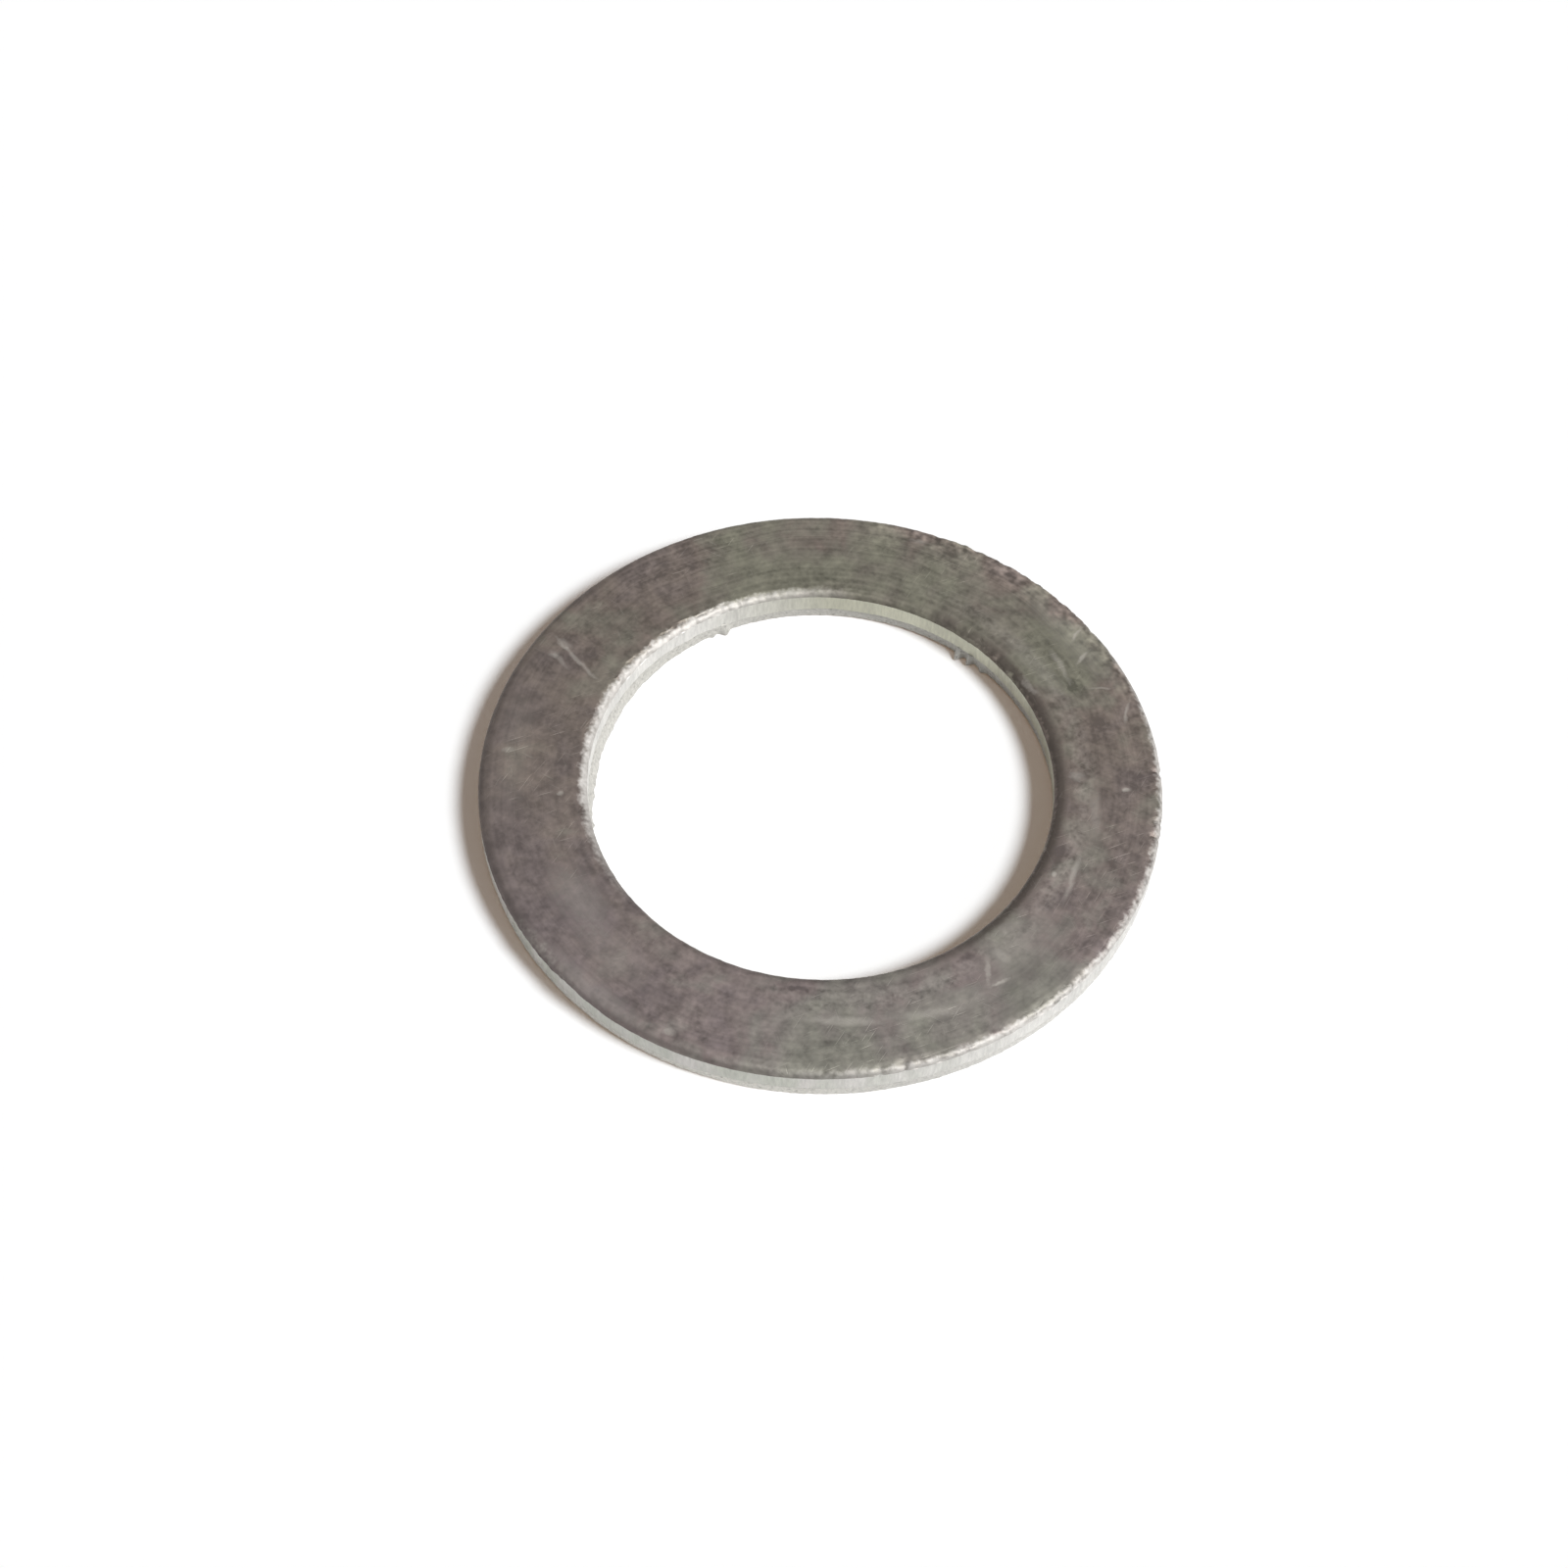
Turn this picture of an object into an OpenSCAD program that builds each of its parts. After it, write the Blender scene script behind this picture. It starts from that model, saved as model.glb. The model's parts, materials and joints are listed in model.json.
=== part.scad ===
// Flat sealing ring for an injector nozzle, blanked in one stroke from soft aluminium strip.
// One die cuts the rim and the hole from the same side. So both walls are alike from top to
// bottom: an edge that the shear rolls over, a smooth land, and a torn part that leans back.
// The lower face lies on Z = 0, with the origin on the axis of the hole and +Z up the hole.

/* [Ring] */
// Diameter of the hole, which slips over the body of the nozzle
bore_d = 15; // [8:0.1:17.5]
// Outside diameter of the ring
rim_d = 22; // [19.5:0.1:40]
// Thickness of the strip that the ring is cut from
strip_t = 1.25; // [1:0.05:3]

/* [Sheared walls] */
// How far the rolled-over edge reaches in across the upper face
roll_w = 0.32; // [0.26:0.01:0.45]
// How far the rolled-over edge reaches down the wall
roll_h = 0.2; // [0.1:0.01:0.24]
// Height of the smooth land that the shear leaves under the rolled edge
land_h = 0.55; // [0.3:0.05:0.6]
// How far the torn part of the wall has leaned back from the land at the lower face
tear_lean = 0.08; // [0.02:0.01:0.12]
// Radius that tumbling leaves on the lower edges, where the burr was
tumble_r = 0.06; // [0.02:0.01:0.08]

/* [Hidden] */
bore_r = bore_d / 2;
rim_r = rim_d / 2;
// Radius of the arc that leaves the upper face smoothly and meets the wall roll_h below it
roll_r = (roll_w * roll_w + roll_h * roll_h) / (2 * roll_h);
// Height of the torn part of the wall, which is what the roll and the land leave of the strip
tear_h = strip_t - roll_h - land_h;
// Angle of the torn part from upright
tear_angle = atan(tear_lean / tear_h);
// Centre of the tumbled edge, a radius in from the lower face and from the torn wall
tumble_x = -tear_lean - tumble_r * tan(45 - tear_angle / 2);
// Reach of a cut past the material that it is taken from
clear = 1;
// Segments of the ring and of the small arcs in its section
ring_fn = 240;
arc_fn = 96;

// What the shear rolls off the upper corner of a wall. The corner is at the origin, with the
// wall going down from it and the face going back from it along -X.
module rolled_corner() {
    translate([-roll_w, -roll_r])
        difference() {
            square([roll_w + clear, roll_r + clear]);
            circle(r = roll_r, $fn = arc_fn);
        }
}

// What the tear takes off the lower part of a wall. The wall's lower corner is at the origin.
module torn_wall() {
    polygon([[0, tear_h], [-tear_lean, 0], [-tear_lean, -clear], [clear, -clear], [clear, tear_h]]);
}

// What tumbling takes off the lower edge, where the torn wall meets the lower face
module tumbled_edge() {
    translate([tumble_x, tumble_r])
        difference() {
            polygon([
                [0, 0],
                [0, -tumble_r - clear],
                [clear, -tumble_r - clear],
                [clear * cos(tear_angle), -clear * sin(tear_angle)]
            ]);
            circle(r = tumble_r, $fn = arc_fn);
        }
}

// Everything that one sheared wall lacks of a square corner, with its lower corner at the origin
module sheared_edge() {
    translate([0, strip_t]) rolled_corner();
    torn_wall();
    tumbled_edge();
}

// Half of the ring cut through its axis, with the radius along X and the height along Y
module half_section() {
    difference() {
        translate([bore_r, 0]) square([rim_r - bore_r, strip_t]);
        translate([rim_r, 0]) sheared_edge();
        translate([bore_r, 0]) mirror([1, 0]) sheared_edge();
    }
}

// The whole ring, which is one piece of aluminium
module gasket_ring() {
    color("#7e766f")
        rotate_extrude($fn = ring_fn)
            half_section();
}

gasket_ring();
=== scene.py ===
import json
import math

import bpy
import numpy as np
from mathutils import Matrix, Vector, noise


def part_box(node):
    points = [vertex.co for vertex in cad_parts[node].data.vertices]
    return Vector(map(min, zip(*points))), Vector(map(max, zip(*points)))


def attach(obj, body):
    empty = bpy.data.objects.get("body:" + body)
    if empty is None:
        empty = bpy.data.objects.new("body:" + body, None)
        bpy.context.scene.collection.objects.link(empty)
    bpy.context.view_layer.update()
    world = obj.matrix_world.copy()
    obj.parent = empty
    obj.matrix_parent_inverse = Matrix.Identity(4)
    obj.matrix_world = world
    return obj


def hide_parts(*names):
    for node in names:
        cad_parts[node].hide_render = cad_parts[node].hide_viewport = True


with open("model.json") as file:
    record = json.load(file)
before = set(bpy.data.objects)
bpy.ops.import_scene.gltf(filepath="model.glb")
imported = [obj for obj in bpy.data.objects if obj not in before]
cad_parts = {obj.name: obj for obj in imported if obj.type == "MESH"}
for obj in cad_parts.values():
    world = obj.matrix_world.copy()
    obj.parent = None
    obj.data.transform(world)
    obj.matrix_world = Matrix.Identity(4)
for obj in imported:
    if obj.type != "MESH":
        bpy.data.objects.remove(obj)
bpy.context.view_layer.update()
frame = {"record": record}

# The ring itself: one blank of soft aluminium strip. A compound die shears the rim and the hole
# in one stroke, which rolls the upper edges over, burnishes a land below them and then tears the
# rest, so that the foot of both walls leans back and is rough. Tumbling rounds the lower edges.

# Sizes are in mm. The thickness of the strip and the two radii come from the frame.
MM = 0.001
low_corner, high_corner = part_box("gasket_ring")
STRIP = high_corner.z / MM
RIM_R = min(high_corner.x, high_corner.y, -low_corner.x, -low_corner.y) / MM
BORE_R = next(
    mount["dims"]["r_mm"] for mount in frame["record"]["mounts"] if mount["name"] == "nozzle_bore"
)
# How many steps the mesh takes round the ring
AROUND = 960
# How far the rolled-over edge reaches in across the face and down the wall, and the narrowest and
# widest that it gets
ROLL_W, ROLL_H = 0.30, 0.19
ROLL_W_LIMITS = (0.15, 0.52)
# Height of the land under it
LAND_H = 0.60
# How far the torn part stands back from the land at its top and at its foot, and the height of the
# ledge between it and the land
TEAR_STEP, TEAR_LEAN = 0.02, 0.055
LEDGE_H = 0.01
# Radius of the tumbled lower edges
TUMBLE_R = 0.06
# How deep the surface of each finish is pitted, and the size of its pits along the ring and down it
PITS = {
    "face": (0.003, 0.9, 0.9),
    "roll": (0.016, 0.24, 0.24),
    "land": (0.012, 0.22, 0.9),
    "torn": (0.030, 0.16, 0.16),
}
# Where the die has chattered, so that edge and wall are broken into facets: middle and spread in
# degrees round from +X
RIM_CHATTER = [(-52, 34), (50, 20), (-140, 12)]
BORE_CHATTER = [(138, 36), (45, 14)]
# What the chatter adds to the depth of the pits, as a share of it, and to the width of the rolled
# edge, in mm
CHATTER_PITS = 2.4
RIM_CHATTER_ROLL, BORE_CHATTER_ROLL = -0.08, 0.05
# Where the edge of the rim is rolled further down, because the punch stood a little off centre,
# and how much further
DEEP_ROLL = [(-124, 26)]
DEEPER = 0.10
# Where the tear has drawn a thin lip into the hole at the foot of the wall: middle and spread in
# degrees, and the reach and height of the lip
LIP = [(172, 34)]
LIP_REACH, LIP_H = 0.24, 0.30
# Nicks in the rolled edge of the rim: degrees round from +X, depth, half width
NICKS = [
    (3.7, 0.06, 0.09), (-6.6, 0.04, 0.07), (-9.8, 0.06, 0.08), (-79, 0.04, 0.10),
    (-75, 0.05, 0.12), (70, 0.02, 0.14), (63, 0.03, 0.10), (57, 0.03, 0.16),
    (51, 0.03, 0.10), (44, 0.03, 0.14), (36, 0.03, 0.12),
]
# Specks of burr on the lower edge of the hole: degrees round from +X, reach, half width, height
BURRS = [
    (117, 0.20, 0.14, 0.30),
    (120.5, 0.07, 0.10, 0.22),
    (53.5, 0.30, 0.13, 0.34),
    (50, 0.24, 0.10, 0.42),
    (46, 0.12, 0.12, 0.30),
    (-178, 0.05, 0.08, 0.25),
    (-169, 0.05, 0.07, 0.22),
]
# Scratches and dents in the upper face: middle, half length, half width, direction in degrees,
# depth, and how much lighter the metal is there, or darker if that is below zero
MARKS = [
    ((-8.20, 4.40), 1.70, 0.110, -48, 0.010, 0.40),
    ((-8.75, 4.35), 0.70, 0.130, -52, 0.006, 0.26),
    ((-8.62, 4.98), 0.36, 0.180, -44, 0.006, 0.30),
    ((-8.95, 4.60), 0.26, 0.200, 20, 0.006, 0.26),
    ((9.80, -0.11), 0.20, 0.160, 0, 0.020, 0.60),
    ((-4.36, -9.62), 0.28, 0.180, -8, 0.020, 0.45),
    ((-4.95, -9.55), 0.20, 0.140, 0, 0.022, -0.40),
    ((5.33, -7.06), 0.66, 0.100, -88, 0.006, 0.34),
    ((5.72, -7.50), 0.46, 0.120, 33, 0.010, 0.50),
    ((5.78, -6.57), 0.46, 0.260, -41, 0.004, 0.26),
    ((8.00, -3.58), 1.10, 0.160, -107, 0.006, 0.44),
    ((7.44, -3.46), 0.18, 0.130, -100, 0.006, 0.56),
    ((6.76, 3.90), 0.70, 0.180, -51, 0.004, 0.30),
    ((7.79, 4.80), 0.95, 0.160, -64, 0.004, 0.30),
    ((8.31, 6.15), 0.48, 0.100, 60, 0.006, 0.48),
    ((8.51, 5.15), 0.50, 0.090, 53, 0.006, 0.42),
    ((9.90, 3.00), 0.64, 0.110, 79, 0.006, 0.40),
    ((10.62, 0.45), 0.34, 0.160, 88, 0.010, -0.36),
    ((10.66, -1.35), 0.18, 0.150, 88, 0.010, -0.44),
    ((-8.27, -0.99), 0.14, 0.120, 0, 0.012, 0.44),
    ((-10.10, 0.65), 0.34, 0.110, 13, 0.005, 0.24),
    ((-0.50, -7.98), 1.40, 0.150, -1, 0.004, -0.28),
    ((3.04, 9.92), 0.44, 0.150, -15, 0.006, 0.32),
]
# The narrowest dent that the mesh can show, as a half width
NARROW_DENT = 0.09
# Streaks and shades that handling has left on the upper face: the same values without the depth
SHADES = [
    ((0.90, -9.05), 1.70, 0.240, 0, 0.40),
    ((3.60, -8.65), 1.50, 0.260, 13, 0.36),
    ((8.80, -1.10), 1.20, 0.280, -91, 0.22),
    ((8.20, 0.35), 0.40, 0.260, -18, 0.30),
    ((9.05, 3.95), 0.60, 0.080, 2, 0.30),
    ((8.15, 3.95), 0.40, 0.200, -91, -0.26),
    ((8.85, 5.65), 0.28, 0.220, -60, -0.36),
    ((4.80, -8.00), 1.80, 0.600, 30, 0.10),
    ((0.20, -8.45), 0.50, 0.300, 0, -0.16),
    ((1.80, -8.55), 0.40, 0.250, 8, -0.18),
    ((5.80, -5.60), 0.90, 0.260, 35, 0.16),
    ((-6.20, -6.90), 2.20, 0.800, -45, 0.10),
    ((6.30, -6.40), 2.60, 1.000, 48, 0.14),
    ((-7.40, -5.00), 1.90, 0.900, -55, 0.20),
    ((8.20, 6.00), 3.00, 0.800, -54, 0.14),
    ((6.90, 4.90), 2.20, 0.500, -54, 0.09),
    ((8.60, 3.20), 2.20, 0.500, -70, -0.12),
    ((3.10, 9.60), 2.20, 0.900, -18, -0.20),
    ((-5.00, 8.80), 2.80, 0.900, 30, -0.18),
    ((-4.80, -8.40), 2.80, 1.400, -30, -0.11),
    ((7.50, -2.80), 1.80, 0.550, 68, -0.14),
    ((7.00, -7.50), 2.00, 0.600, 42, 0.14),
    ((-0.80, 8.10), 2.20, 0.550, -6, -0.16),
    ((-6.80, 6.20), 3.60, 1.300, 48, -0.10),
    ((-9.90, 0.60), 3.20, 0.800, 90, 0.08),
    ((-6.90, -8.20), 3.60, 0.600, -40, 0.22),
    ((-8.75, -6.80), 2.20, 0.500, -52, 0.26),
    ((0.90, -8.30), 2.80, 0.600, 6, -0.08),
]

# The steps round the ring, as shares of a turn and as angles, and a value that is the same at each
rng = np.random.default_rng(11)
turn = np.arange(AROUND) / AROUND
angle = 2 * np.pi * turn
level = np.zeros(AROUND)


def ragged(middle, amount, *knot_counts):
    """A size that wanders about its middle value on the way round, in ever finer steps"""
    total = np.full(AROUND, float(middle))
    for finer, knots in enumerate(knot_counts, start=1):
        heights = rng.uniform(-1, 1, knots)
        round_again = [*heights, heights[0]]
        total += amount / finer * np.interp(turn * knots, np.arange(knots + 1), round_again)
    return total


def along(radius, degrees):
    """How far each step round the ring lies from a bearing, in mm along a circle of that radius"""
    away = (angle - math.radians(degrees) + np.pi) % (2 * np.pi) - np.pi
    return radius * away


def within(arcs):
    """From 0 to 1 round the ring, how far it lies inside arcs given by middle and spread"""
    total = level
    for middle, spread in arcs:
        total = total + np.exp(-((along(1, middle) / math.radians(spread)) ** 2))
    return np.clip(total, 0, 1)


def sheared_wall(chatter, chatter_roll, deeper):
    """The rows of a wall from its foot to the upper face: the distance behind the wall, the height,
    the way into the metal as (behind, up), and the finish of the band above the row"""
    roll_w = ragged(ROLL_W, 0.035, 9, 60) + chatter * ragged(chatter_roll, 0.06, 150, 330)
    roll_w = np.clip(roll_w, *ROLL_W_LIMITS)
    roll_h = ragged(ROLL_H, 0.012, 7, 40) + deeper
    land_h = ragged(LAND_H, 0.05, 13, 90, 260)
    roll_r = (roll_w**2 + roll_h**2) / (2 * roll_h)
    tear_h = STRIP - roll_h - land_h
    slope = np.arctan((TEAR_LEAN - TEAR_STEP) / tear_h)
    foot = TEAR_LEAN + TUMBLE_R * np.tan(np.pi / 4 - slope / 2)
    rows = []
    for share in (0, 0.35, 0.7, 1):
        swing = share * (np.pi / 2 - slope)
        across, up = np.sin(swing), np.cos(swing)
        rows.append((foot - TUMBLE_R * across, TUMBLE_R * (1 - up), across, up, "torn"))
    for share in (0.16, 0.32, 0.48, 0.64, 0.8, 0.93):
        rows.append((TEAR_LEAN + (TEAR_STEP - TEAR_LEAN) * share, tear_h * share, 1, 0, "torn"))
    rows.append((TEAR_STEP, tear_h - LEDGE_H, 1, 0, "torn"))
    for share in (0, 0.06, 0.25, 0.45, 0.65, 0.85, 0.95):
        rows.append((level, tear_h + land_h * share, 1, 0, "land"))
    for share in (1, 0.93, 0.8, 0.67, 0.54, 0.41, 0.28, 0.14, 0):
        swing = share * np.arcsin(roll_w / roll_r)
        across, up = np.sin(swing), np.cos(swing)
        rows.append((roll_w - roll_r * across, STRIP - roll_r * (1 - up), across, -up, "roll"))
    return rows


rim_chatter, bore_chatter = within(RIM_CHATTER), within(BORE_CHATTER)
bore_rows = sheared_wall(bore_chatter, BORE_CHATTER_ROLL, 0)
rim_rows = sheared_wall(rim_chatter, RIM_CHATTER_ROLL, DEEPER * within(DEEP_ROLL))
lip = LIP_REACH * within(LIP) * ragged(1, 0.12, 80, 240)
# The whole section, as rows of the mesh that go up the hole's wall, out across the upper face, down
# the rim and back under the ring: radius, height, way into the metal as (outward, up), finish and
# chatter
FACE_ROWS = 38
FOOT_ROWS = 8
profile = [
    (BORE_R + behind, height, into, up, finish, bore_chatter)
    for behind, height, into, up, finish in bore_rows
]
inner_end, outer_end = BORE_R + bore_rows[-1][0], RIM_R - rim_rows[-1][0]
profile[-1] = (inner_end, STRIP + level, 0, -1, "face", bore_chatter)
for share in np.linspace(0, 1, FACE_ROWS + 2)[1:-1]:
    upper_radius = inner_end + (outer_end - inner_end) * share
    profile.append((upper_radius, STRIP + level, 0, -1, "face", level))
# On the way down the rim each row takes the finish of the band that is now below it
finishes = [row[4] for row in rim_rows]
for (behind, height, into, up, _), finish in zip(rim_rows[::-1], [*finishes[-2::-1], "face"]):
    profile.append((RIM_R - behind, height, -into, up, finish, rim_chatter))
outer_foot, inner_foot = RIM_R - rim_rows[0][0], BORE_R + bore_rows[0][0]
for share in np.linspace(0, 1, FOOT_ROWS + 2)[1:-1]:
    lower_radius = outer_foot + (inner_foot - outer_foot) * share
    profile.append((lower_radius, level, 0, 1, "face", level))


def pitting(x, y, z, finish):
    """From 0 to 1, how deep a row of points lies in the pits of its finish"""
    _, size, drop = PITS[finish]
    points = np.stack([x / size, y / size, z / drop], axis=1)
    return np.clip([0.5 + 0.6 * noise.fractal(Vector(p), 1.0, 2.0, 3) for p in points], 0, 1)


def dented(x, y):
    """How deep the marks of the upper face have gone in at a row of points"""
    total = np.zeros(len(x))
    for (mark_x, mark_y), half_length, half_width, degrees, depth, _ in MARKS:
        c, s = math.cos(math.radians(degrees)), math.sin(math.radians(degrees))
        lengthwise = ((x - mark_x) * c + (y - mark_y) * s) / half_length
        crosswise = ((y - mark_y) * c - (x - mark_x) * s) / max(half_width, NARROW_DENT)
        total += depth * np.clip(1 - lengthwise**2 - crosswise**2, 0, 1)
    return total


# Which of the three finishes below each kind of band has
FINISH_SLOT = {"face": 0, "roll": 0, "land": 1, "torn": 2}
corners, bands = [], []
for radius, height, into, up, finish, chatter in profile:
    height = height + level
    x, y = radius * np.cos(angle), radius * np.sin(angle)
    deep = PITS[finish][0] * (1 + CHATTER_PITS * chatter * (finish in ("roll", "land")))
    dip = deep * pitting(x, y, height, finish)
    on_rim = np.mean(radius) > (BORE_R + RIM_R) / 2
    if finish == "face" and np.mean(height) > STRIP / 2:
        dip = dip + dented(x, y)
    if finish != "face" and on_rim:
        for degrees, depth, half_width in NICKS:
            nick = depth * np.exp(-((along(RIM_R, degrees) / half_width) ** 2))
            dip = dip + nick * (height > STRIP / 2)
    if finish == "torn" and not on_rim:
        for degrees, reach, half_width, rise in BURRS:
            burr = np.exp(-((along(BORE_R, degrees) / half_width) ** 2) - (height / rise) ** 2)
            dip = dip - reach * burr
        dip = dip - lip * np.exp(-((height / LIP_H) ** 2))
    radius = np.minimum(radius + into * dip, RIM_R)
    height = np.clip(height + up * dip, 0, STRIP)
    corners.append(np.stack([radius * np.cos(angle), radius * np.sin(angle), height], axis=1) * MM)
    bands.append(FINISH_SLOT[finish])

quads = []
for row in range(len(profile)):
    above = (row + 1) % len(profile)
    for step in range(AROUND):
        beside = (step + 1) % AROUND
        low, high = row * AROUND, above * AROUND
        quads.append((low + step, high + step, high + beside, low + beside))
skin = bpy.data.meshes.new("gasket_ring_skin")
skin.from_pydata(np.concatenate(corners).tolist(), [], quads)
skin.polygons.foreach_set("material_index", np.repeat(bands, AROUND).astype(np.int32))
skin.shade_smooth()
skin.set_sharp_from_angle(angle=math.radians(32))
ring = bpy.data.objects.new("gasket_ring_detailed", skin)
bpy.context.scene.collection.objects.link(ring)
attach(ring, "root")
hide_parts("gasket_ring")


# The finish of both faces and of the rolled-over edges: bare aluminium as it left the rolling
# mill, then tumbled and handled. It is grey-brown and dull, because the skin is full of fine pits
# and hairlines that scatter the light, and it is paler where it has been rubbed. It is painted
# lighter towards the lamp, with a painted highlight on the edges on that side and painted shade on
# the edges on the far side.
def srgb(code):
    """The linear colour of an sRGB hex code"""
    parts = [int(code[i : i + 2], 16) / 255 for i in (1, 3, 5)]
    return *(c / 12.92 if c <= 0.04045 else ((c + 0.055) / 1.055) ** 2.4 for c in parts), 1.0


def add(tree, kind, inputs=None, out=0, **settings):
    """Adds a node with its settings and a value or link for each input, and returns one output"""
    node = tree.nodes.new("ShaderNode" + kind)
    for name, value in settings.items():
        setattr(node, name, value)
    for name, value in (inputs or {}).items():
        if isinstance(value, bpy.types.NodeSocket):
            tree.links.new(value, node.inputs[name])
        else:
            node.inputs[name].default_value = value
    return node.outputs[out] if node.outputs else node


def new_material(name):
    """An empty node material, its tree, places on the ring and their distance from its axis in mm"""
    material = bpy.data.materials.new(name)
    material.use_nodes = True
    tree = material.node_tree
    tree.nodes.clear()
    own = add(tree, "TexCoord", out="Object")
    place = add(tree, "Mapping", {"Vector": own, "Scale": (1 / MM, 1 / MM, 1 / MM)})
    flat_place = add(tree, "Mapping", {"Vector": place, "Scale": (1, 1, 0)})
    radius = add(tree, "VectorMath", {0: flat_place}, out="Value", operation="LENGTH")
    return material, tree, place, radius


def facing(tree, place, radius, bearing):
    """From 1 where the rim or the hole faces a bearing in degrees, to -1 where it faces away"""
    way = (math.cos(math.radians(bearing)), math.sin(math.radians(bearing)), 0)
    outward = add(tree, "VectorMath", {0: place, 1: way}, out="Value", operation="DOT_PRODUCT")
    outward = add(tree, "Math", {0: outward, 1: radius}, operation="DIVIDE")
    on_rim = add(tree, "MapRange", {"Value": radius, "From Min": BORE_R + 0.4,
                                    "From Max": RIM_R - 0.4, "To Min": -1.0, "To Max": 1.0})
    return add(tree, "Math", {0: outward, 1: on_rim}, operation="MULTIPLY")


# The ways, in degrees round from +X, that the edges face where they carry a painted highlight from
# the lamp, and where they carry painted shade
LAMP_SIDE_BEARING, SHADED_SIDE_BEARING = -28, 178
# Sizes of the patterns in the skin, in mm. The real grit and turning lines are finer, and are drawn
# as coarse as they need to show.
BROAD_PATCH = 3.6
ISLAND = 1.3
BLOTCH = 0.45
GRIT = 0.14
TURNING_LINE = 0.16
PECK = 0.30
rolled_skin, tree, place, radius = new_material("rolled_aluminium_tumbled")
# The strip's rolling grain runs along X, so the ring is paler at the two ends of the Y diameter
squares = add(tree, "VectorMath", {0: place, 1: place}, operation="MULTIPLY")
grain = add(tree, "VectorMath", {0: squares, 1: (-0.0013, 0.0013, 0)}, out="Value",
            operation="DOT_PRODUCT")
patches = add(tree, "TexNoise", {"Vector": place, "Scale": 1 / BROAD_PATCH, "Detail": 3.0})
islands = add(tree, "TexNoise", {"Vector": place, "Scale": 1 / ISLAND, "Detail": 2.0,
                                 "Distortion": 0.4})
# From brown to green as it rises: patches and islands, and a drift towards +X and +Y
drift = add(tree, "VectorMath", {0: place, 1: (0.005, 0.008, 0)}, out="Value",
            operation="DOT_PRODUCT")
drift = add(tree, "Math", {0: drift, 1: 0.05}, operation="MINIMUM")
tinted = add(tree, "Math", {0: patches, 1: 0.45, 2: drift}, operation="MULTIPLY_ADD")
tinted = add(tree, "Math", {0: islands, 1: 0.55, 2: tinted}, operation="MULTIPLY_ADD")
tinted = add(tree, "Math", {0: tinted, 1: grain}, operation="ADD")
# The far side shows its turning lines, and is greener towards the hole and browner towards the rim
far_side = add(tree, "SeparateXYZ", {"Vector": place}, out="Y")
far_side = add(tree, "MapRange", {"Value": far_side, "From Min": 5.5, "From Max": 8.5})
greener = add(tree, "MapRange", {"Value": radius, "From Min": BORE_R, "From Max": RIM_R,
                                 "To Min": 0.14, "To Max": -0.16})
tinted = add(tree, "Math", {0: far_side, 1: greener, 2: tinted}, operation="MULTIPLY_ADD")
# Single patches where the skin is greener than around them, or browner if the last value is below
# zero: middle, radius, how much greener
TINGED = [
    ((-5.5, 8.3), 2.4, -0.20),
    ((8.0, 5.2), 2.6, 0.20),
    ((6.6, 7.4), 1.4, 0.10),
    ((6.8, -7.5), 1.7, 0.24),
    ((0.4, -10.1), 1.9, 0.14),
]
for (middle_x, middle_y), patch_r, tinge in TINGED:
    local = add(tree, "Mapping", {
        "Vector": place,
        "Location": (middle_x, middle_y, 0),
        "Scale": (patch_r, patch_r, 10),
    }, vector_type="TEXTURE")
    local = add(tree, "VectorMath", {0: local}, out="Value", operation="LENGTH")
    there = add(tree, "MapRange", {"Value": local, "From Min": 1.0, "From Max": 0.3},
                interpolation_type="SMOOTHSTEP")
    tinted = add(tree, "Math", {0: there, 1: tinge, 2: tinted}, operation="MULTIPLY_ADD")
tint = add(tree, "ValToRGB", {"Fac": tinted})
stops = tint.node.color_ramp.elements
stops[0].position, stops[0].color = 0.30, srgb("#7b716e")
stops[1].position, stops[1].color = 0.70, srgb("#767469")
stops.new(0.46).color = srgb("#7b716b")
stops.new(0.56).color = srgb("#78736b")
# The near side is a little bluer
farther = add(tree, "VectorMath", {0: place, 1: (-0.08, 1, 0)}, out="Value", operation="DOT_PRODUCT")
bluer = add(tree, "MapRange", {"Value": farther, "From Min": 1.0, "From Max": -8.0,
                               "To Min": 0.98, "To Max": 1.07})
bluer = add(tree, "CombineXYZ", {"X": 1.0, "Y": 1.0, "Z": bluer})
tint = add(tree, "VectorMath", {0: tint, 1: bluer}, operation="MULTIPLY")

# The fine patterns are cut aslant, so that none of their grain runs along X or Y
aslant = add(tree, "Mapping", {"Vector": place, "Rotation": (0.6, 0.45, 0.5)})
blotches = add(tree, "TexNoise", {"Vector": aslant, "Scale": 1 / BLOTCH, "Detail": 2.0,
                                  "Roughness": 0.55})
grit = add(tree, "TexNoise", {"Vector": aslant, "Scale": 1 / GRIT, "Detail": 1.5, "Roughness": 0.5})
speckles = add(tree, "Math", {0: blotches, 1: grit}, operation="ADD")
speckles = add(tree, "Math", {0: speckles, 1: 0.5}, operation="MULTIPLY")
# The turning lines run round the ring and waver a little
wavering = add(tree, "Math", {0: patches, 1: 0.6, 2: radius}, operation="MULTIPLY_ADD")
turned = add(tree, "TexNoise", {"W": wavering, "Scale": 1 / TURNING_LINE, "Detail": 2.0},
             noise_dimensions="1D")
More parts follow.
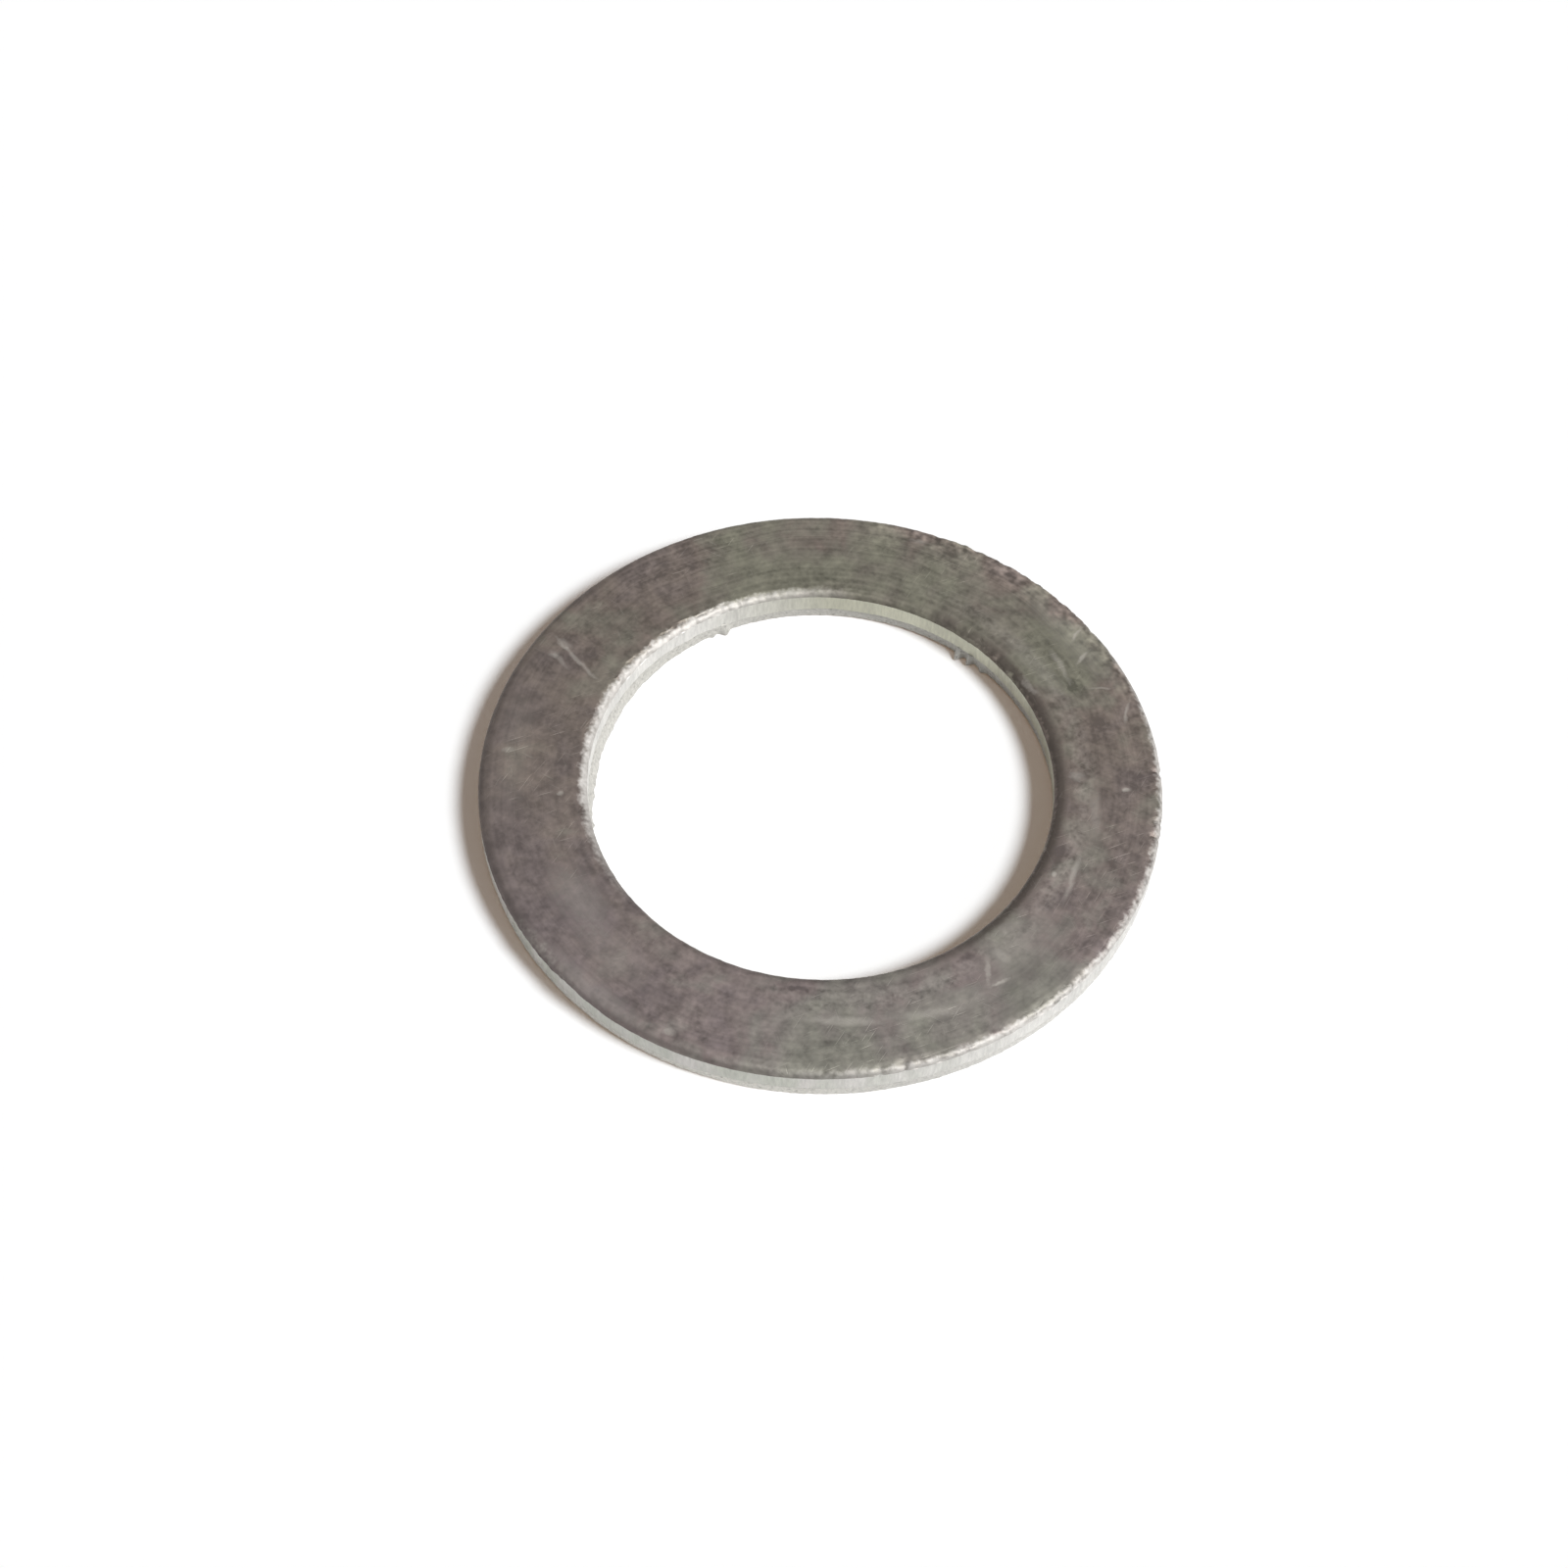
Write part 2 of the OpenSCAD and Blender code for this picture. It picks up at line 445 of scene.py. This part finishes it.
# Handling has scuffed the side towards +X and -Y more than the rest
scuffed = add(tree, "VectorMath", {0: place, 1: (0.045, -0.030, 0)}, out="Value",
              operation="DOT_PRODUCT")
scuffed = add(tree, "MapRange", {"Value": scuffed, "From Min": -0.35, "From Max": 0.35,
                                 "To Min": 0.98, "To Max": 1.20}, interpolation_type="SMOOTHSTEP")
mottle = 0.0
for pattern, amount in ((islands, 0.60), (blotches, 0.95), (grit, 0.38), (turned, 0.26)):
    centred = add(tree, "Math", {0: pattern, 1: 0.5}, operation="SUBTRACT")
    mottle = add(tree, "Math", {0: centred, 1: amount, 2: mottle}, operation="MULTIPLY_ADD")
# How light the skin is, as a factor on its tint: its own level, and painted light towards +X and -Y
SKIN_LEVEL = 0.965
lamp_side_paler = add(tree, "VectorMath", {0: place, 1: (0.0014, -0.0033, 0)}, out="Value",
            operation="DOT_PRODUCT")
light = add(tree, "Math", {0: lamp_side_paler, 1: SKIN_LEVEL}, operation="ADD")
light = add(tree, "Math", {0: light, 1: grain}, operation="ADD")
cloudy = add(tree, "Math", {0: patches, 1: 0.5}, operation="SUBTRACT")
light = add(tree, "Math", {0: cloudy, 1: 0.30, 2: light}, operation="MULTIPLY_ADD")
light = add(tree, "Math", {0: mottle, 1: scuffed, 2: light}, operation="MULTIPLY_ADD")
lined = add(tree, "Math", {0: turned, 1: 0.5}, operation="SUBTRACT")
lined = add(tree, "Math", {0: lined, 1: far_side}, operation="MULTIPLY")
light = add(tree, "Math", {0: lined, 1: 0.32, 2: light}, operation="MULTIPLY_ADD")

# Short hairlines, gathered in patches. Real ones are finer, and these are as coarse as they need to
# show.
HAIR_LENGTH, HAIR_WIDTH = 0.9, 0.06
hairs = 0.0
for degrees in (24, 61, 112, 153):
    combed = add(tree, "Mapping", {
        "Vector": place,
        "Rotation": (0, 0, math.radians(degrees)),
        "Scale": (HAIR_LENGTH, HAIR_WIDTH, 1),
    }, vector_type="TEXTURE")
    lines = add(tree, "TexNoise", {"Vector": combed, "Scale": 1.0, "Detail": 1.0})
    thin = add(tree, "MapRange", {"Value": lines, "From Min": 0.68, "From Max": 0.78})
    hairs = add(tree, "Math", {0: hairs, 1: thin}, operation="MAXIMUM")
gathered = add(tree, "MapRange", {"Value": patches, "From Min": 0.42, "From Max": 0.62,
                                  "To Max": 1.2})
hairs = add(tree, "Math", {0: hairs, 1: gathered}, operation="MULTIPLY")
rubbed = add(tree, "Math", {0: hairs, 1: 0.12}, operation="MULTIPLY")

# A narrow paler ring round the upper face, ragged and broken up, and clear only towards +X
PALE_RING_R, PALE_RING_HALF = 8.5, 0.50
PALE_RING_RAGGED = 0.7
off_ring = add(tree, "Math", {0: radius, 1: PALE_RING_R + PALE_RING_RAGGED / 2}, operation="SUBTRACT")
off_ring = add(tree, "Math", {0: blotches, 1: PALE_RING_RAGGED, 2: off_ring}, operation="MULTIPLY_ADD")
off_ring = add(tree, "Math", {0: off_ring}, operation="ABSOLUTE")
pale_ring = add(tree, "MapRange", {"Value": off_ring, "From Min": PALE_RING_HALF, "From Max": 0.0},
              interpolation_type="SMOOTHSTEP")
clear_side = add(tree, "VectorMath", {0: place, 1: (1, -0.3, 0)}, out="Value",
                 operation="DOT_PRODUCT")
clear_side = add(tree, "MapRange", {"Value": clear_side, "From Min": -1.0, "From Max": 5.0})
pale_ring = add(tree, "Math", {0: pale_ring, 1: clear_side}, operation="MULTIPLY")
kept = add(tree, "MapRange", {"Value": speckles, "From Min": 0.35, "From Max": 0.60})
pale_ring = add(tree, "Math", {0: pale_ring, 1: kept}, operation="MULTIPLY")
rubbed = add(tree, "Math", {0: pale_ring, 1: 0.17, 2: rubbed}, operation="MULTIPLY_ADD")

# Scratches, dents, streaks and shades. Their outlines wander by up to half of WANDER, in waves
# about WANDER_STEP long, as those of real ones do.
WANDER, WANDER_STEP = 0.22, 0.5
wander = add(tree, "TexNoise", {"Vector": place, "Scale": 1 / WANDER_STEP, "Detail": 1.5},
             out="Color")
wander = add(tree, "VectorMath", {0: wander, 1: (0.5, 0.5, 0.5)}, operation="SUBTRACT")
wander = add(tree, "VectorMath", {0: wander, 1: (WANDER, WANDER, 0), 2: place},
             operation="MULTIPLY_ADD")
for (mark_x, mark_y), half_length, half_width, degrees, *_, lighter in MARKS + SHADES:
    local = add(tree, "Mapping", {
        "Vector": wander,
        "Location": (mark_x, mark_y, STRIP),
        "Rotation": (0, 0, math.radians(degrees)),
        "Scale": (half_length, half_width, 0.3),
    }, vector_type="TEXTURE")
    local = add(tree, "VectorMath", {0: local}, out="Value", operation="LENGTH")
    local = add(tree, "Math", {0: speckles, 1: 1.6, 2: local}, operation="MULTIPLY_ADD")
    there = add(tree, "MapRange", {"Value": local, "From Min": 1.75, "From Max": 1.00},
                interpolation_type="SMOOTHSTEP")
    if lighter > 0:
        rubbed = add(tree, "Math", {0: there, 1: lighter, 2: rubbed}, operation="MULTIPLY_ADD")
    else:
        light = add(tree, "Math", {0: there, 1: lighter, 2: light}, operation="MULTIPLY_ADD")

# Along its edges a worn band carries a painted highlight on the side towards the lamp, and a dark
# band of painted shade lies on the side away from it
from_rim = add(tree, "Math", {0: RIM_R + 0.08, 1: radius}, operation="SUBTRACT")
from_hole = add(tree, "Math", {0: radius, 1: BORE_R}, operation="SUBTRACT")
inset = add(tree, "Math", {0: from_rim, 1: from_hole}, operation="MINIMUM")
uneven = add(tree, "Math", {0: 0.5, 1: speckles}, operation="SUBTRACT")
inset = add(tree, "Math", {0: uneven, 1: 0.5, 2: inset}, operation="MULTIPLY_ADD")
worn_edge = add(tree, "MapRange", {"Value": inset, "From Min": 0.32, "From Max": 0.13})
# Painted highlight: the worn band shows, bright, only where the edges face the lamp
worn_and_lit = add(tree, "MapRange", {"Value": facing(tree, place, radius, LAMP_SIDE_BEARING),
                              "From Min": 0.35, "From Max": 0.85, "To Max": 0.9})
worn_and_lit = add(tree, "Math", {0: worn_and_lit, 1: worn_edge}, operation="MULTIPLY")
past_corner = add(tree, "MapRange", {"Value": inset, "From Min": 0.02, "From Max": 0.10})
edge_shade_band = add(tree, "MapRange", {"Value": inset, "From Min": 0.50, "From Max": 0.26})
edge_shade_band = add(tree, "Math", {0: edge_shade_band, 1: past_corner}, operation="MULTIPLY")
# Painted shade: the edges that face away from the lamp are painted dark
edge_shade = add(tree, "MapRange", {"Value": facing(tree, place, radius, SHADED_SIDE_BEARING),
                               "From Min": 0.25, "From Max": 0.80, "To Max": 0.85})
fainter = add(tree, "MapRange", {"Value": radius, "From Min": BORE_R + 1, "From Max": RIM_R - 1,
                                 "To Min": 1.0, "To Max": 0.35})
edge_shade = add(tree, "Math", {0: edge_shade, 1: fainter}, operation="MULTIPLY")
edge_shade = add(tree, "Math", {0: edge_shade, 1: edge_shade_band}, operation="MULTIPLY")
# Knocks have left the rim dark and bright by turns on its side towards +X and +Y
knocked = add(tree, "VectorMath", {0: place, 1: (0.64 / RIM_R, 0.77 / RIM_R, 0)}, out="Value",
              operation="DOT_PRODUCT")
knocked = add(tree, "MapRange", {"Value": knocked, "From Min": 0.72, "From Max": 0.90})
rim_band = add(tree, "MapRange", {"Value": radius, "From Min": RIM_R - 1.2,
                                  "From Max": RIM_R - 0.3})
knocked = add(tree, "Math", {0: knocked, 1: rim_band}, operation="MULTIPLY")
pecks = add(tree, "TexNoise", {"Vector": place, "Scale": 1 / PECK, "Detail": 1.5})
pecks = add(tree, "Math", {0: pecks, 1: 0.42}, operation="SUBTRACT")
pecks = add(tree, "Math", {0: pecks, 1: knocked}, operation="MULTIPLY")
light = add(tree, "Math", {0: pecks, 1: 3.2, 2: light}, operation="MULTIPLY_ADD")
# The skin is nowhere darker than this share of its tint
DARKEST = 0.62
light = add(tree, "Math", {0: light, 1: DARKEST}, operation="MAXIMUM")

# The colour of the painted shade on the edges that face away from the lamp
EDGE_SHADE = srgb("#554e49")
RUBBED_METAL = srgb("#b3aea7")
skin_colour = add(tree, "VectorMath", {0: tint, "Scale": light}, operation="SCALE")
skin_colour = add(tree, "Mix", {"Factor": edge_shade, 6: skin_colour, 7: EDGE_SHADE}, out=2, data_type="RGBA")
skin_colour = add(tree, "Mix", {"Factor": rubbed, 6: skin_colour, 7: RUBBED_METAL}, out=2,
                  data_type="RGBA")
bare = add(tree, "ValToRGB", {"Fac": speckles})
stops = bare.node.color_ramp.elements
stops[0].position, stops[0].color = 0.38, srgb("#b4b0ab")
stops[1].position, stops[1].color = 0.62, srgb("#cfccc8")
skin_colour = add(tree, "Mix", {"Factor": worn_and_lit, 6: skin_colour, 7: bare}, out=2, data_type="RGBA")
dullness = add(tree, "MapRange", {"Value": speckles, "From Min": 0.35, "From Max": 0.65,
                                  "To Min": 0.54, "To Max": 0.68})
relief = add(tree, "Math", {0: speckles, 1: pecks}, operation="ADD")
relief = add(tree, "Math", {0: hairs, 1: -0.5, 2: relief}, operation="MULTIPLY_ADD")
bumps = add(tree, "Bump", {"Height": relief, "Strength": 0.6, "Distance": 0.016 * MM})
# Where the worn band carries the painted highlight the metal is scored all over, and scatters
# nearly as much light as it mirrors
mirroring = add(tree, "MapRange", {"Value": worn_and_lit, "To Min": 1.0, "To Max": 0.4})
shader = add(tree, "BsdfPrincipled", {
    "Base Color": skin_colour, "Metallic": mirroring, "Roughness": dullness, "Normal": bumps
})
add(tree, "OutputMaterial", {"Surface": shader})
skin.materials.append(rolled_skin)


# The finish of the land: the part of both walls that the die has sheared and burnished. It is the
# palest metal on the ring. Scoring and tumbling have left it satin, so that it scatters nearly as
# much light as it mirrors.

# Widths of the streaks that the die draws up and down the wall. The real ones are finer, and are
# drawn as coarse as they need to show.
STREAK, BROAD_STREAK = 0.10, 0.7
# The way, in degrees round from +X, that the brightest part of the hole's wall faces
BURNISHED_BEARING = -125
sheared_land, tree, place, radius = new_material("sheared_aluminium_satin")
upright = add(tree, "Mapping", {"Vector": place, "Scale": (1, 1, 0.22)})
streaks = add(tree, "TexNoise", {"Vector": upright, "Scale": 1 / STREAK, "Detail": 3.0,
                                 "Roughness": 0.65})
broad = add(tree, "TexNoise", {"Vector": upright, "Scale": 1 / BROAD_STREAK, "Detail": 2.0})
light = add(tree, "MapRange", {"Value": streaks, "From Min": 0.25, "From Max": 0.75,
                               "To Min": 0.82, "To Max": 1.14})
cloudy = add(tree, "Math", {0: broad, 1: 0.5}, operation="SUBTRACT")
light = add(tree, "Math", {0: cloudy, 1: 0.4, 2: light}, operation="MULTIPLY_ADD")
tint = add(tree, "ValToRGB", {"Fac": broad})
stops = tint.node.color_ramp.elements
stops[0].position, stops[0].color = 0.38, srgb("#c8c9c0")
stops[1].position, stops[1].color = 0.62, srgb("#cbc8c4")
# The hole's wall is greener than the rim's and painted greyer, as shade in the hole, and the side
# of both that faces the lamp is painted whiter, as a painted highlight
in_hole = add(tree, "MapRange", {"Value": radius, "From Min": RIM_R - 1, "From Max": BORE_R + 1})
tint = add(tree, "Mix", {"Factor": in_hole, 6: tint, 7: srgb("#b6b5a5")}, out=2, data_type="RGBA")
whiter = add(tree, "MapRange", {"Value": facing(tree, place, radius, LAMP_SIDE_BEARING),
                                "From Min": 0.45, "From Max": 0.90})
tint = add(tree, "Mix", {"Factor": whiter, 6: tint, 7: srgb("#d8d6d2")}, out=2, data_type="RGBA")
burnished = add(tree, "MapRange", {"Value": facing(tree, place, radius, BURNISHED_BEARING),
                                   "From Min": 0.80, "From Max": 0.97, "To Max": 0.30})
burnished = add(tree, "Math", {0: burnished, 1: in_hole, 2: 1.0}, operation="MULTIPLY_ADD")
light = add(tree, "Math", {0: light, 1: burnished}, operation="MULTIPLY")
wall_colour = add(tree, "VectorMath", {0: tint, "Scale": light}, operation="SCALE")
dullness = add(tree, "MapRange", {"Value": streaks, "To Min": 0.34, "To Max": 0.60})
bumps = add(tree, "Bump", {"Height": streaks, "Strength": 0.7, "Distance": 0.020 * MM})
shader = add(tree, "BsdfPrincipled", {
    "Base Color": wall_colour, "Metallic": 0.55, "Roughness": dullness, "Normal": bumps
})
add(tree, "OutputMaterial", {"Surface": shader})
skin.materials.append(sheared_land)


# The finish of the torn foot of both walls: raw aluminium that broke away under the land. It is
# crystalline and matt, a little darker than the land, with small dark hollows in it.

# Sizes of its grain and of its hollows, drawn as coarse as they need to show
TEAR_GRAIN, HOLLOW = 0.10, 0.18
torn_foot, tree, place, radius = new_material("torn_aluminium")
crystals = add(tree, "TexNoise", {"Vector": place, "Scale": 1 / TEAR_GRAIN, "Detail": 4.0,
                                  "Roughness": 0.7})
hollows = add(tree, "TexVoronoi", {"Vector": place, "Scale": 1 / HOLLOW}, out="Distance")
light = add(tree, "MapRange", {"Value": crystals, "From Min": 0.3, "From Max": 0.7,
                               "To Min": 0.76, "To Max": 1.16})
tint = add(tree, "ValToRGB", {"Fac": hollows})
stops = tint.node.color_ramp.elements
stops[0].position, stops[0].color = 0.04, srgb("#9e9c95")
stops[1].position, stops[1].color = 0.30, srgb("#c4c2bc")
# The side that faces the lamp is painted whiter, as a painted highlight, mostly on the rim, and the
# rim's foot towards -X and -Y is painted lighter, as painted light where it lies in shade
whiter = add(tree, "MapRange", {"Value": facing(tree, place, radius, LAMP_SIDE_BEARING),
                                "From Min": 0.45, "From Max": 0.90})
on_rim = add(tree, "MapRange", {"Value": radius, "From Min": BORE_R + 1, "From Max": RIM_R - 1,
                                "To Min": 0.1, "To Max": 0.7})
whiter = add(tree, "Math", {0: whiter, 1: on_rim}, operation="MULTIPLY")
tint = add(tree, "Mix", {"Factor": whiter, 6: tint, 7: srgb("#dcdad6")}, out=2, data_type="RGBA")
near_rim = add(tree, "VectorMath", {0: place, 1: (-0.47 / RIM_R, -0.88 / RIM_R, 0)}, out="Value",
               operation="DOT_PRODUCT")
near_rim = add(tree, "MapRange", {"Value": near_rim, "From Min": 0.72, "From Max": 0.97,
                                  "To Min": 1.0, "To Max": 1.45})
light = add(tree, "Math", {0: light, 1: near_rim}, operation="MULTIPLY")
foot_colour = add(tree, "VectorMath", {0: tint, "Scale": light}, operation="SCALE")
dullness = add(tree, "MapRange", {"Value": crystals, "To Min": 0.50, "To Max": 0.80})
bumps = add(tree, "Bump", {"Height": crystals, "Strength": 0.8, "Distance": 0.03 * MM})
shader = add(tree, "BsdfPrincipled", {
    "Base Color": foot_colour, "Metallic": 0.40, "Roughness": dullness, "Normal": bumps
})
add(tree, "OutputMaterial", {"Surface": shader})
skin.materials.append(torn_foot)


# The floor: a plain white sheet under the ring, which takes its soft shadow. It also shows as
# white paper in the metal's reflections.
FLOOR_HALF = 750 * MM
FLOOR_DROP = 0.01 * MM
floor_mesh = bpy.data.meshes.new("floor")
floor_corners = [
    (x * FLOOR_HALF, y * FLOOR_HALF, -FLOOR_DROP) for x, y in ((-1, -1), (1, -1), (1, 1), (-1, 1))
]
floor_mesh.from_pydata(floor_corners, [], [(0, 1, 2, 3)])
floor = bpy.data.objects.new("floor", floor_mesh)
bpy.context.scene.collection.objects.link(floor)
paper = bpy.data.materials.new("white_paper")
paper.use_nodes = True
tree = paper.node_tree
tree.nodes.clear()
# As it shows, to the camera or in the metal, its shadow is brown: a faint warm glow is left where
# the cooler light is missing. The light that it throws back at the ring is plain.
seen = add(tree, "LightPath", out="Is Camera Ray")
mirrored = add(tree, "LightPath", out="Is Glossy Ray")
passed = add(tree, "LightPath", out="Is Transmission Ray")
shows = add(tree, "Math", {0: seen, 1: mirrored}, operation="ADD")
shows = add(tree, "Math", {0: shows, 1: passed}, operation="ADD", use_clamp=True)
plain = add(tree, "BsdfDiffuse", {"Color": srgb("#cfcfcf")})
cool = add(tree, "BsdfDiffuse", {"Color": srgb("#f5fbff")})
warm = add(tree, "Emission", {"Color": srgb("#56380a"), "Strength": 1.0})
shown = add(tree, "AddShader", {0: cool, 1: warm})
sheet = add(tree, "MixShader", {"Fac": shows, 1: plain, 2: shown})
add(tree, "OutputMaterial", {"Surface": sheet})
floor_mesh.materials.append(paper)

# The light: a soft lamp from the right and in front, a broad screen behind it that fills its
# shadows from the same side, and a pale room, brightest overhead and darker towards the horizon.
LAMP_BEARING = math.radians(-26)
LAMP_ELEVATION = math.radians(48.5)
ROOM_LEVEL = 0.14
towards = Vector((
    math.cos(LAMP_ELEVATION) * math.cos(LAMP_BEARING),
    math.cos(LAMP_ELEVATION) * math.sin(LAMP_BEARING),
    math.sin(LAMP_ELEVATION),
))
# Each light with how bright it makes the floor, and how wide it looks from there in degrees
for name, floor_level, spread in (("soft_lamp", 0.82, 19), ("broad_screen", 0.04, 70)):
    lamp_data = bpy.data.lights.new(name, "SUN")
    lamp_data.energy = math.pi * floor_level / math.sin(LAMP_ELEVATION)
    lamp_data.angle = math.radians(spread)
    lamp = bpy.data.objects.new(name, lamp_data)
    lamp.rotation_mode = "QUATERNION"
    lamp.rotation_quaternion = towards.to_track_quat("Z", "Y")
    bpy.context.scene.collection.objects.link(lamp)
# The room is faint where it lights the ring, graded where the metal mirrors it, and white where the
# camera looks past the floor
room = bpy.data.worlds.new("pale_room")
room.use_nodes = True
room.cycles.sampling_method = "NONE"
tree = room.node_tree
tree.nodes.clear()
seen = add(tree, "LightPath", out="Is Camera Ray")
mirrored = add(tree, "LightPath", out="Is Glossy Ray")
skyward = add(tree, "TexCoord", out="Generated")
skyward = add(tree, "SeparateXYZ", {"Vector": skyward}, out="Z")
overhead = add(tree, "MapRange", {"Value": skyward, "From Min": 0.0, "From Max": 0.8,
                                  "To Min": 0.35, "To Max": 0.95})
strength = add(tree, "Mix", {"Factor": mirrored, 2: ROOM_LEVEL, 3: overhead}, data_type="FLOAT")
strength = add(tree, "Mix", {"Factor": seen, 2: strength, 3: 1.0}, data_type="FLOAT")
backdrop = add(tree, "Background", {"Color": srgb("#ffffff"), "Strength": strength})
add(tree, "OutputWorld", {"Surface": backdrop})
bpy.context.scene.world = room

# The camera: above and in front of the ring, turned a little about its own axis, at the angle and
# distance that the outlines of the rim and of the hole give. The lens is in mm.
VIEW_ELEVATION = math.radians(54.8)
VIEW_TURN = math.radians(2.0)
VIEW_DISTANCE = 94.8 * MM
LENS = 67.75
PICTURE_PX = 1600
RING_CENTRE_PX = (838.0, 792.4)
away = Vector((0, -math.cos(VIEW_ELEVATION), math.sin(VIEW_ELEVATION)))
sideways = Vector((1, 0, 0))
upward = away.cross(sideways)
across = sideways * math.cos(VIEW_TURN) + upward * math.sin(VIEW_TURN)
upward = away.cross(across)
camera_data = bpy.data.cameras.new("camera")
camera_data.lens = LENS
camera_data.shift_x = (PICTURE_PX / 2 - RING_CENTRE_PX[0]) / PICTURE_PX
camera_data.shift_y = (RING_CENTRE_PX[1] - PICTURE_PX / 2) / PICTURE_PX
camera_data.clip_start = 1 * MM
camera = bpy.data.objects.new("camera", camera_data)
stand = Vector((0, 0, STRIP * MM)) + away * VIEW_DISTANCE
facing_ring = Matrix((across, upward, away)).transposed().to_4x4()
camera.matrix_world = Matrix.Translation(stand) @ facing_ring
bpy.context.scene.collection.objects.link(camera)
bpy.context.scene.camera = camera
bpy.context.scene.view_settings.view_transform = "Standard"
